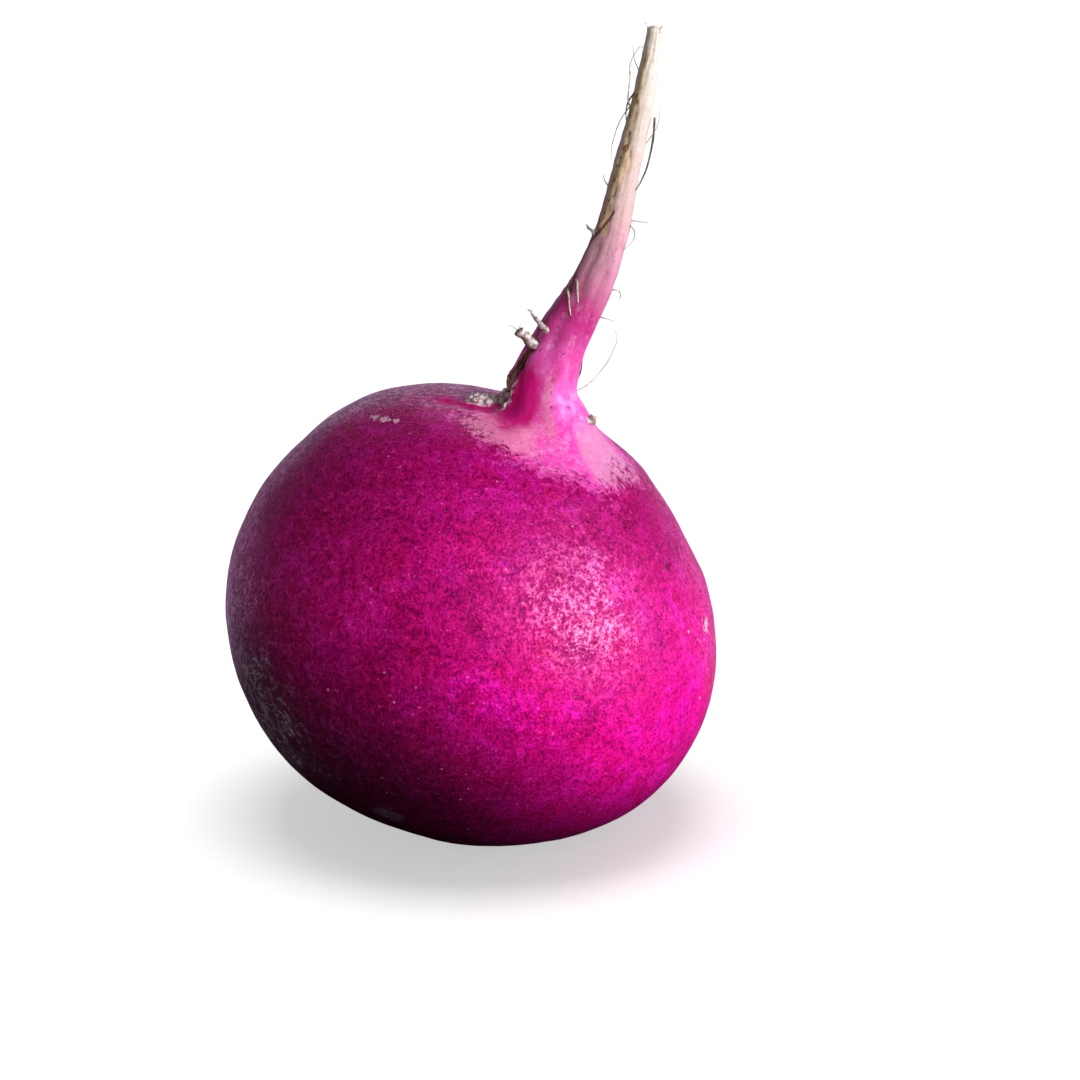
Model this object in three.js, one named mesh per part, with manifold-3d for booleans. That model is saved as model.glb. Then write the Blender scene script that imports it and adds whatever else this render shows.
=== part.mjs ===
// Purple globe radish, a whole root grown as one piece: round body, flared neck and a
// long thin taproot, with a few short side-root stubs near the neck.
// Millimetres, +Z up. The origin is the middle of the small flat spot the body rests on.
// The taproot leans toward +X, and the best side of the root faces -Y.
import * as THREE from "three";
import { mergeVertices } from "three/addons/utils/BufferGeometryUtils.js";
import Module from "manifold-3d";

const wasm = await Module();
wasm.setup();

// Driving dimensions.
const BODY_RADIUS = 18.4; // half the width, across the axis
const BODY_HALF_LENGTH = 16.7; // crown to shoulder, halved, along the axis
const BODY_CENTRE = new THREE.Vector3(-1.2, 0, 15.5);
const BODY_LEAN = THREE.MathUtils.degToRad(19); // from upright toward +X
const CROWN_DIMPLE = 0.6; // depth of the hollow where the leaves grew

// The body isn't a true spheroid: it swells toward two sides, then toward three.
const TWO_SIDED_SWELL = { size: 0.4, toward: THREE.MathUtils.degToRad(128) };
const THREE_SIDED_SWELL = { size: 0.45, toward: THREE.MathUtils.degToRad(87) };

// Centre line of the taproot, from the body's centre: [toward +X, toward +Y, up].
const TAPROOT_LINE = [
  [5.4, 0, 17.8],
  [6.7, 0, 21.3],
  [8.9, 0, 25.3],
  [10.4, 0, 29.5],
  [11.3, 0, 33.7],
  [12.3, 0, 37.9],
  [13.1, 0, 42.0],
  [13.5, 0, 44.8],
];

// Radius of the taproot at distances past the top of the body, [distance, radius].
const NECK_AND_TAPROOT = [
  [-2.0, 8.7],
  [-1.1, 6.0],
  [-0.3, 4.1],
  [0.7, 3.05],
  [2.2, 2.5],
  [4.6, 2.1],
  [8.0, 1.75],
  [12.0, 1.42],
  [17.0, 1.1],
  [22.0, 0.88],
  [26.0, 0.74],
  [30.1, 0.54],
];
const TIP_DOME = 0.2; // how far the cut end stands past its rim

// Short stumps of side roots: distance up the taproot, angle round it (0 is +X, 90 is +Y,
// 270 is the front), length, base radius, and how far it turns toward the tip.
const SIDE_ROOTS = [
  { along: 4.8, around: 205, length: 1.9, radius: 0.6, lift: 0.25 },
  { along: 5.6, around: 235, length: 1.9, radius: 0.4, lift: 1.2 },
  { along: 1.0, around: 335, length: 1.1, radius: 0.5, lift: 0.2 },
  { along: 14.4, around: 200, length: 1.3, radius: 0.3, lift: 0.9 },
];

const AROUND = 48;
const STATIONS = 60;

const axis = new THREE.Vector3(Math.sin(BODY_LEAN), 0, Math.cos(BODY_LEAN));
const fromCentre = (x, y, z) => new THREE.Vector3(x, y, z).add(BODY_CENTRE);
const onAxis = (h) => BODY_CENTRE.clone().addScaledVector(axis, h);

const spine = new THREE.CatmullRomCurve3([
  onAxis(-BODY_HALF_LENGTH),
  onAxis(-BODY_HALF_LENGTH / 2),
  onAxis(0),
  onAxis(BODY_HALF_LENGTH / 2),
  onAxis(BODY_HALF_LENGTH * 0.96),
  ...TAPROOT_LINE.map((p) => fromCentre(...p)),
]);
spine.arcLengthDivisions = 600;
const spineLength = spine.getLength();

// Outline beside the spine: x is the distance from the crown end, y the radius.
function outline() {
  const points = [
    new THREE.Vector2(CROWN_DIMPLE, 0),
    new THREE.Vector2(CROWN_DIMPLE * 0.75, 2),
  ];
  for (const degrees of [12, 20, 32, 46, 60, 75, 90, 105, 120, 134, 146]) {
    const polar = THREE.MathUtils.degToRad(degrees);
    points.push(
      new THREE.Vector2(
        BODY_HALF_LENGTH * (1 - Math.cos(polar)),
        BODY_RADIUS * Math.sin(polar),
      ),
    );
  }
  for (const [past, radius] of NECK_AND_TAPROOT)
    points.push(new THREE.Vector2(2 * BODY_HALF_LENGTH + past, radius));
  return new THREE.SplineCurve(points);
}

// Point, tangent and the two directions across the spine at a distance along it.
function stationAt(distance) {
  const u = THREE.MathUtils.clamp(distance / spineLength, 0, 1);
  const tangent = spine.getTangentAt(u);
  const side = new THREE.Vector3(0, 1, 0).cross(tangent).normalize();
  const back = tangent.clone().cross(side);
  return { point: spine.getPointAt(u), tangent, side, back };
}

function swell(point) {
  const out = point.clone().sub(BODY_CENTRE);
  const reach = out.length();
  if (reach < 1e-6) return point;
  out.divideScalar(reach);
  const facing = Math.hypot(out.x, out.z);
  const angle = Math.atan2(out.z, out.x);
  const two =
    TWO_SIDED_SWELL.size *
    facing ** 2 *
    Math.cos(2 * (angle - TWO_SIDED_SWELL.toward));
  const three =
    THREE_SIDED_SWELL.size *
    facing ** 3 *
    Math.cos(3 * (angle - THREE_SIDED_SWELL.toward));
  const fade =
    1 - THREE.MathUtils.smoothstep(reach, BODY_RADIUS, BODY_RADIUS + 6);
  return point.clone().addScaledVector(out, (two + three) * fade);
}

function solid(positions, faces) {
  const geometry = new THREE.BufferGeometry();
  geometry.setAttribute(
    "position",
    new THREE.Float32BufferAttribute(positions, 3),
  );
  geometry.setIndex(faces);
  const merged = mergeVertices(geometry, 1e-4);
  return new wasm.Manifold(
    new wasm.Mesh({
      numProp: 3,
      vertProperties: new Float32Array(merged.attributes.position.array),
      triVerts: new Uint32Array(merged.index.array),
    }),
  );
}

// A skin through rings of points, closed by a fan at each end.
function skin(rings, firstPoint, lastPoint) {
  const positions = [];
  const faces = [];
  const count = rings[0].length;
  rings.forEach((ring) => ring.forEach((p) => positions.push(p.x, p.y, p.z)));
  const first = rings.length * count;
  positions.push(firstPoint.x, firstPoint.y, firstPoint.z);
  positions.push(lastPoint.x, lastPoint.y, lastPoint.z);
  for (let j = 0; j < count; j++) {
    const k = (j + 1) % count;
    faces.push(first, k, j);
    for (let i = 0; i + 1 < rings.length; i++) {
      const a = i * count;
      const b = a + count;
      faces.push(a + j, a + k, b + k, a + j, b + k, b + j);
    }
    const top = (rings.length - 1) * count;
    faces.push(first + 1, top + j, top + k);
  }
  return solid(positions, faces);
}

function root() {
  const stations = outline().getPoints(STATIONS);
  const rings = stations.slice(1).map(({ x, y }) => {
    const { point, side, back } = stationAt(x);
    return Array.from({ length: AROUND }, (_, j) => {
      const a = (2 * Math.PI * j) / AROUND;
      return swell(
        point
          .clone()
          .addScaledVector(side, y * Math.cos(a))
          .addScaledVector(back, y * Math.sin(a)),
      );
    });
  });
  const crown = swell(stationAt(stations[0].x).point);
  const tip = stationAt(stations.at(-1).x + TIP_DOME).point;
  return skin(rings, crown, tip);
}

function sideRoot({ along, around, length, radius, lift }) {
  const { point, tangent, side, back } = stationAt(
    2 * BODY_HALF_LENGTH + along,
  );
  const a = THREE.MathUtils.degToRad(around);
  const out = side
    .clone()
    .multiplyScalar(Math.cos(a))
    .addScaledVector(back, Math.sin(a));
  const start = point.clone().addScaledVector(out, 0.9);
  const end = point
    .clone()
    .addScaledVector(out, 1.9 + length)
    .addScaledVector(tangent, length * lift);
  const line = new THREE.LineCurve3(start, end);
  const direction = line.getTangent(0);
  const across = new THREE.Vector3()
    .crossVectors(direction, tangent)
    .normalize();
  const third = new THREE.Vector3().crossVectors(direction, across);
  const rings = [0, 0.5, 0.85].map((t) =>
    Array.from({ length: 8 }, (_, j) => {
      const b = (2 * Math.PI * j) / 8;
      const r = radius * (1 - 0.55 * t);
      return line
        .getPoint(t)
        .addScaledVector(across, r * Math.cos(b))
        .addScaledVector(third, r * Math.sin(b));
    }),
  );
  return skin(rings, start, end);
}

let whole = root();
for (const stub of SIDE_ROOTS) whole = whole.add(sideRoot(stub));

// The flat spot: everything below the floor plane is taken off.
const below = wasm.Manifold.cube([80, 80, 20], true).translate([0, 0, -10]);
whole = whole.subtract(below);

const made = whole.getMesh();
const geometry = new THREE.BufferGeometry();
geometry.setAttribute(
  "position",
  new THREE.BufferAttribute(new Float32Array(made.vertProperties), 3),
);
geometry.setIndex(new THREE.BufferAttribute(new Uint32Array(made.triVerts), 1));
geometry.computeVertexNormals();

const radish = new THREE.Mesh(
  geometry,
  new THREE.MeshStandardMaterial({
    color: 0xa3085f,
    roughness: 0.45,
    metalness: 0,
  }),
);
radish.name = "radish_root";

const group = new THREE.Group();
group.name = "radish";
group.add(radish);
export default group;
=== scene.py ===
"""Purple globe radish: round body, pale neck, long taproot with its rootlets, and a plain studio."""

import math

import bpy
import numpy as np
from mathutils import Matrix, Vector, noise


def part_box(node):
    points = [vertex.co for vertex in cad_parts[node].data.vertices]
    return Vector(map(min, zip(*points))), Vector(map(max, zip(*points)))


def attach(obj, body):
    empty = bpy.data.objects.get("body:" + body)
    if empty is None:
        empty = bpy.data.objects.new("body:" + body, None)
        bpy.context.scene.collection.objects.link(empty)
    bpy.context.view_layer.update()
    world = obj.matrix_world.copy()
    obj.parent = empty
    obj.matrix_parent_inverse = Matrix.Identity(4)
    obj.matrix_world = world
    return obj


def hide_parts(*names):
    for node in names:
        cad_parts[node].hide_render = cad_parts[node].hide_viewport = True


bl_info = {
    "name": "Purple Globe Radish",
    "version": (1, 0, 0),
    "blender": (4, 5, 0),
    "location": "View3D > Sidebar > Radish",
    "description": "Builds a whole purple radish with its taproot, rootlets and corky neck",
    "category": "Add Mesh",
}

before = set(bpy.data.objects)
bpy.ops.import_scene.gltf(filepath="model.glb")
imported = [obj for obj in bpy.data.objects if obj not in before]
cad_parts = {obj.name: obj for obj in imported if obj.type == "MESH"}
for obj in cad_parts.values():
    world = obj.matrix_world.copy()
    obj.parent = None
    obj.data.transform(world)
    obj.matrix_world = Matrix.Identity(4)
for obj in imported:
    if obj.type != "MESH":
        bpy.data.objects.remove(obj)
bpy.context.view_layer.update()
ROOT_LOW, ROOT_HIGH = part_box("radish_root")

MM = 0.001
ROOT_BODY = "root"
ROOT_NODE = "radish_root"

# The body's centre, as its offset from the middle of the flat spot that it stands on.
BODY_CENTRE = np.array([-1.2, 0.0, 15.5]) * MM
BODY_RADIUS = (ROOT_HIGH[1] - ROOT_LOW[1]) / 2
# Where the taproot's centre line runs, from the body's centre: toward +X, and up.
TAPROOT_LINE = (
    (5.4, 17.8),
    (6.7, 21.3),
    (8.9, 25.3),
    (10.4, 29.5),
    (11.3, 33.7),
    (12.3, 37.9),
    (13.1, 42.0),
    (13.5, 44.8),
)
# Radius of the neck and taproot at distances past the top of the body, in millimetres.
NECK_AND_TAPROOT = (
    (-2.0, 8.7),
    (-1.1, 6.0),
    (-0.3, 4.1),
    (0.7, 3.05),
    (2.2, 2.5),
    (4.6, 2.1),
    (8.0, 1.75),
    (12.0, 1.42),
    (17.0, 1.1),
    (22.0, 0.88),
    (26.0, 0.74),
    (30.1, 0.54),
)
CROWN_DIMPLE = 0.6 * MM
TWO_SIDED_SWELL = (0.4 * MM, math.radians(128))
THREE_SIDED_SWELL = (0.45 * MM, math.radians(87))
# Local swells: size, the direction they face, and their width.
LOCAL_SWELLS = (
    (0.38 * MM, math.radians(28), math.radians(19)),
    (-0.30 * MM, math.radians(194), math.radians(15)),
)
AROUND = 320
ROWS = 298

CRUMBS = 90
CRUMB_RADII = (0.09, 0.27)

# Directions out of the body's centre.
RUBBED_SIDE = (-0.86, -0.44, -0.26)
CROWN_EDGE = (-0.34, -0.68, -0.65)
# Two sides where the skin is painted darker, as painted shade.
PAINTED_SHADE_LOW_FRONT = (-0.30, -0.84, -0.45)
PAINTED_SHADE_LEFT = (-0.90, -0.40, 0.10)
DENT = (0.84, -0.40, 0.36)
# Pale scurf spots: direction and radius in millimetres.
SCURF = (
    ((0.97, -0.25, 0.05), 0.45),
    ((-0.34, -0.20, 0.92), 0.40),
    ((-0.38, -0.16, 0.91), 0.30),
    ((-0.29, -0.23, 0.93), 0.25),
    ((-0.90, -0.42, -0.08), 0.45),
    ((-0.83, -0.50, -0.22), 0.40),
    ((0.35, 0.88, 0.30), 0.50),
    ((-0.60, 0.75, -0.25), 0.40),
    ((0.70, 0.60, -0.38), 0.35),
)

# Places of sockets on the nodes that have several outputs.
OBJECT_PLACE = 3
CAMERA_RAY = 0
GLOSSY_RAY = 3
VALUE_OUT = 2

# Each light: direction from the body's centre and distance in metres, then power in watts
# and side in metres. The key light's power and side are in RadishStage.
KEY_LIGHT = ((0.88, -0.40, 0.27), 0.5)
FRONT_LIGHT = ((0.50, -0.80, 0.42), 0.7, 2.3, 0.4)
FLOOR_LIGHT = ((0.0, 0.0, 1.0), 2.0, 24.0, 1.2)
FLOOR_RADIUS = 4.0


# ---------------------------------------------------------------- properties


class RadishSizes(bpy.types.PropertyGroup):
    """Sizes of the root."""

    body_radius: bpy.props.FloatProperty(
        name="Body radius",
        description="Half the width of the round body",
        default=BODY_RADIUS,
        unit="LENGTH",
    )
    half_length: bpy.props.FloatProperty(
        name="Body half length",
        description="Half the distance from crown to shoulder",
        default=16.7 * MM,
        unit="LENGTH",
    )
    lean: bpy.props.FloatProperty(
        name="Lean",
        description="How far the body leans from upright",
        default=math.radians(19),
        subtype="ANGLE",
    )
    relief: bpy.props.FloatProperty(
        name="Relief",
        description="Strength of folds, cork and hollows",
        default=1.0,
    )
    rootlet_radius: bpy.props.FloatProperty(
        name="Rootlet radius",
        description="Radius of the thickest rootlet",
        default=0.13 * MM,
        unit="LENGTH",
    )


def colour(name, description, default):
    """A colour that the user can change."""
    return bpy.props.FloatVectorProperty(
        name=name,
        description=description,
        default=default,
        size=3,
        min=0,
        max=1,
        subtype="COLOR",
    )


class RadishColours(bpy.types.PropertyGroup):
    """Colours of the root."""

    skin: colour("Skin", "Main colour of the body", (0.53, 0.0010, 0.160))
    skin_deep: colour("Deep skin", "Darkest patches", (0.30, 0.0008, 0.092))
    skin_bright: colour("Bright skin", "Brightest patches", (0.78, 0.0020, 0.34))
    shoulder: colour("Shoulder", "Pale ring under the neck", (0.76, 0.13, 0.44))
    blush: colour("Blush", "Magenta blotches of the neck", (0.51, 0.036, 0.20))
    flesh: colour("Flesh", "Middle of the taproot", (0.66, 0.47, 0.41))
    tip: colour("Tip", "End of the taproot", (0.80, 0.75, 0.59))
    ochre: colour("Ochre", "Stain along the taproot", (0.72, 0.52, 0.22))
    cork: colour("Cork", "Dry crust by the neck", (0.86, 0.68, 0.70))
    bark: colour("Bark", "Dark crack and pits", (0.035, 0.014, 0.010))
    rootlet: colour("Rootlet", "Rootlets and root hairs", (0.70, 0.66, 0.56))


class RadishStage(bpy.types.PropertyGroup):
    """Light, floor and camera."""

    key_power: bpy.props.FloatProperty(
        name="Key light",
        description="Power of the large light on the right",
        default=4.0,
        unit="POWER",
    )
    key_size: bpy.props.FloatProperty(
        name="Key size",
        description="Side of the large light",
        default=0.42,
        unit="LENGTH",
    )
    fill: bpy.props.FloatProperty(
        name="Fill",
        description="Brightness of the surroundings",
        default=0.19,
    )
    lens: bpy.props.FloatProperty(
        name="Lens",
        description="Focal length in millimetres",
        default=180.0,
    )
    distance: bpy.props.FloatProperty(
        name="Camera distance",
        description="From the camera to the body",
        default=0.40,
        unit="LENGTH",
    )
    elevation: bpy.props.FloatProperty(
        name="Elevation",
        description="How far the camera looks down",
        default=math.radians(18),
        subtype="ANGLE",
    )


# ---------------------------------------------------------------- shader helpers


class Wire:
    """A node's output; arithmetic on it adds Math nodes."""

    def __init__(self, net, socket):
        self.net = net
        self.socket = socket

    def maths(self, operation, *others):
        """A Math node on this value and the others."""
        return self.net.node(
            "ShaderNodeMath",
            {"operation": operation},
            dict(enumerate((self, *others))),
        )

    def __add__(self, other):
        return self.maths("ADD", other)

    __radd__ = __add__

    def __mul__(self, other):
        return self.maths("MULTIPLY", other)

    __rmul__ = __mul__

    def __sub__(self, other):
        return self.maths("SUBTRACT", other)

    def __rsub__(self, other):
        return self.net.node(
            "ShaderNodeMath", {"operation": "SUBTRACT"}, {0: other, 1: self}
        )

    def __abs__(self):
        return self.maths("ABSOLUTE")

    def at_most(self, other):
        return self.maths("MINIMUM", other)

    def at_least(self, other):
        return self.maths("MAXIMUM", other)


class Net:
    """Builds the nodes of one material, or of the world."""

    def __init__(self, owner):
        self.owner = owner
        owner.use_nodes = True
        self.tree = owner.node_tree
        self.tree.nodes.clear()

    def node(self, kind, settings=None, inputs=None, output=0):
        """Adds a node: settings first, then the values or links of its sockets."""
        made = self.tree.nodes.new(kind)
        for key, value in (settings or {}).items():
            if key == "stops":
                self.set_stops(made.color_ramp, value)
            else:
                setattr(made, key, value)
        for key, value in (inputs or {}).items():
            socket = made.inputs[key]
            if isinstance(value, Wire):
                self.tree.links.new(value.socket, socket)
            elif socket.type == "RGBA" and len(value) == 3:
                socket.default_value = (*value, 1)
            else:
                socket.default_value = value
        return Wire(self, made.outputs[output]) if made.outputs else made

    @staticmethod
    def set_stops(ramp, stops):
        """Gives a colour ramp its stops, as (position, colour) pairs."""
        while len(ramp.elements) < len(stops):
            ramp.elements.new(1)
        for element, (position, value) in zip(ramp.elements, stops):
            element.position = position
            element.color = (*value, 1)

    def millimetres(self):
        """The place on the root in millimetres."""
        place = self.node("ShaderNodeTexCoord", output=OBJECT_PLACE)
        return self.scaled(place, (1000, 1000, 1000))

    def scaled(self, vector, factors):
        return self.node(
            "ShaderNodeVectorMath",
            {"operation": "MULTIPLY"},
            {0: vector, 1: factors},
        )

    def turned(self, vector, angles, lengths):
        """A pattern's place, for marks of these lengths along turned axes."""
        return self.node(
            "ShaderNodeMapping",
            {"vector_type": "TEXTURE"},
            {"Vector": vector, "Rotation": angles, "Scale": lengths},
        )

    def strokes(self, place, angles, lengths, low, high):
        """Thin marks that all run one way."""
        marks = self.noise(self.turned(place, angles, lengths), 1.0, 1.0)
        return self.step(marks, low, high)

    def noise(self, vector, scale, detail=3.0, roughness=0.55, distortion=0.0):
        return self.node(
            "ShaderNodeTexNoise",
            None,
            {
                "Vector": vector,
                "Scale": scale,
                "Detail": detail,
                "Roughness": roughness,
                "Distortion": distortion,
            },
        )

    def cells(self, vector, scale):
        """Distance to the nearest of many scattered points."""
        return self.node(
            "ShaderNodeTexVoronoi", None, {"Vector": vector, "Scale": scale}
        )

    def painted(self, name):
        """A value stored on the mesh."""
        return self.node(
            "ShaderNodeAttribute",
            {"attribute_type": "GEOMETRY", "attribute_name": name},
            output=VALUE_OUT,
        )

    def step(self, value, low, high):
        """0 below low, 1 above high, smooth between."""
        return self.node(
            "ShaderNodeMapRange",
            {"interpolation_type": "SMOOTHSTEP"},
            {"Value": value, "From Min": low, "From Max": high},
        )

    def mix(self, factor, first, second):
        """Blends two colours."""
        return self.node(
            "ShaderNodeMix",
            {"data_type": "RGBA"},
            {0: factor, 6: first, 7: second},
            2,
        )

    def shade(self, colour_wire, factor):
        """Multiplies a colour by a value."""
        return self.node(
            "ShaderNodeVectorMath",
            {"operation": "SCALE"},
            {0: colour_wire, "Scale": factor},
        )

    def ramp(self, value, stops):
        return self.node("ShaderNodeValToRGB", {"stops": stops}, {"Fac": value})

    def bump(self, height, distance, strength):
        inputs = {"Height": height, "Distance": distance, "Strength": strength}
        return self.node("ShaderNodeBump", None, inputs)

    def finish(self, inputs):
        """Adds the surface shader and the output."""
        shader = self.node("ShaderNodeBsdfPrincipled", None, inputs)
        self.node("ShaderNodeOutputMaterial", None, {"Surface": shader})
        return self.owner


# ---------------------------------------------------------------- shape helpers


def smooth_line(knots, power, steps=60):
    """Points on a Catmull-Rom curve; power 0 is uniform and 0.25 centripetal."""
    knots = np.asarray(knots, float)
    ends = [2 * knots[0] - knots[1], *knots, 2 * knots[-1] - knots[-2]]
    share = np.linspace(0, 1, steps, endpoint=False)[:, None]
    points = []
    for before, start, end, after in zip(ends, ends[1:], ends[2:], ends[3:]):
        gaps = [
            max(np.dot(b - a, b - a) ** power, 1e-9)
            for a, b in ((before, start), (start, end), (end, after))
        ]
        leaving = (
            (start - before) / gaps[0]
            - (end - before) / (gaps[0] + gaps[1])
            + (end - start) / gaps[1]
        ) * gaps[1]
        arriving = (
            (end - start) / gaps[1]
            - (after - start) / (gaps[1] + gaps[2])
            + (after - end) / gaps[2]
        ) * gaps[1]
        square = -3 * start + 3 * end - 2 * leaving - arriving
        cube = 2 * start - 2 * end + leaving + arriving
        points.append(start + leaving * share + square * share**2 + cube * share**3)
    points.append(knots[-1:])
    return np.concatenate(points)


def lengths_along(points):
    """Distance of each point along its line."""
    gaps = np.linalg.norm(np.diff(points, axis=0), axis=1)
    return np.concatenate([[0], np.cumsum(gaps)])


def resampled(points, places):
    """The line's points at the given distances along it."""
    along = lengths_along(points)
    return np.stack(
        [np.interp(places, along, points[:, k]) for k in range(points.shape[1])], 1
    )


def smoothstep(value, low, high):
    t = np.clip((value - low) / (high - low), 0, 1)
    return t * t * (3 - 2 * t)


def between(value, low, high, soft):
    """1 between low and high, with soft edges."""
    return smoothstep(value, low - soft, low + soft) * (
        1 - smoothstep(value, high - soft, high + soft)
    )


def lumps(points, size, seed, octaves=3):
    """Smooth noise of about -1 to 1 with lumps about size across."""
    flat = (points / size + seed).reshape(-1, 3)
    values = [noise.fractal(Vector(p), 1.0, 2.0, octaves) for p in flat]
    return np.array(values).reshape(points.shape[:-1])


def angle_from(turn, centre):
    """Signed difference of two angles in degrees."""
    return (turn - centre + 180) % 360 - 180


def unit(vector):
    vector = np.asarray(vector, float)
    return vector / np.linalg.norm(vector)


class Spine:
    """The line up the middle of the root, and the directions across it."""

    def __init__(self, sizes):
        axis = np.array([math.sin(sizes.lean), 0, math.cos(sizes.lean)])
        body = [
            BODY_CENTRE + axis * h * sizes.half_length for h in (-1, -0.5, 0, 0.5, 0.96)
        ]
        taproot = [BODY_CENTRE + np.array([x, 0, z]) * MM for x, z in TAPROOT_LINE]
        self.line = smooth_line(body + taproot, 0.25)
        self.along = lengths_along(self.line)
        self.length = self.along[-1]
        self.tangents = np.gradient(self.line, self.along, axis=0)
        self.top = 2 * sizes.half_length
        self.axis = axis

    def at(self, distance):
        """Centre, tangent, side and back directions at distances along the spine."""
        distance = np.asarray(distance, float)
        centre = np.stack(
            [np.interp(distance, self.along, self.line[:, k]) for k in range(3)], -1
        )
        tangent = np.stack(
            [np.interp(distance, self.along, self.tangents[:, k]) for k in range(3)], -1
        )
        tangent /= np.linalg.norm(tangent, axis=-1, keepdims=True)
        side = np.cross(np.array([0.0, 1.0, 0.0]), tangent)
        side /= np.linalg.norm(side, axis=-1, keepdims=True)
        back = np.cross(tangent, side)
        return centre, tangent, side, back

    def on_taproot(self, past, turn, out):
        """A point out mm from the taproot's skin, past mm above the body, at turn degrees."""
        centre, _, side, back = self.at(self.top + past * MM)
        reach = (taproot_radius(past) + out) * MM
        a = math.radians(turn)
        return centre + reach * (math.cos(a) * side + math.sin(a) * back)


def taproot_radius(past):
    """Radius of the neck or taproot in millimetres."""
    places, radii = zip(*NECK_AND_TAPROOT)
    return float(np.interp(past, places, radii))


def outline(sizes):
    """Distance along the spine and radius, from the crown's middle to the taproot's end."""
    knots = [(CROWN_DIMPLE, 0), (CROWN_DIMPLE * 0.75, 2 * MM)]
    for degrees in (12, 20, 32, 46, 60, 75, 90, 105, 120, 134, 146):
        polar = math.radians(degrees)
        knots.append(
            (
                sizes.half_length * (1 - math.cos(polar)),
                sizes.body_radius * math.sin(polar),
            )
        )
    knots += [
        (2 * sizes.half_length + past * MM, radius * MM)
        for past, radius in NECK_AND_TAPROOT
    ]
    line = smooth_line(knots, 0)
    even = np.linspace(0, lengths_along(line)[-1], ROWS + 1)[1:]
    return resampled(line, even)


def swell(points):
    """Pushes the body out toward two sides and three."""
    out = points - BODY_CENTRE
    reach = np.linalg.norm(out, axis=-1, keepdims=True)
    out = out / np.maximum(reach, 1e-9)
    facing = np.hypot(out[..., 0], out[..., 2])
    angle = np.arctan2(out[..., 2], out[..., 0])
    size, toward = TWO_SIDED_SWELL
    push = size * facing**2 * np.cos(2 * (angle - toward))
    size, toward = THREE_SIDED_SWELL
    push = push + size * facing**3 * np.cos(3 * (angle - toward))
    for size, toward, width in LOCAL_SWELLS:
        away = (angle - toward + math.pi) % (2 * math.pi) - math.pi
        push = push + size * facing**2 * np.exp(-((away / width) ** 2))
    fade = 1 - smoothstep(reach[..., 0], BODY_RADIUS, BODY_RADIUS + 6 * MM)
    return points + out * (push * fade)[..., None]


def grid_normals(points):
    """Outward directions of a grid that closes on itself across its columns."""
    down = np.gradient(points, axis=0)
    across = np.roll(points, -1, axis=1) - np.roll(points, 1, axis=1)
    normal = np.cross(across, down)
    return normal / np.maximum(np.linalg.norm(normal, axis=-1, keepdims=True), 1e-12)


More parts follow.
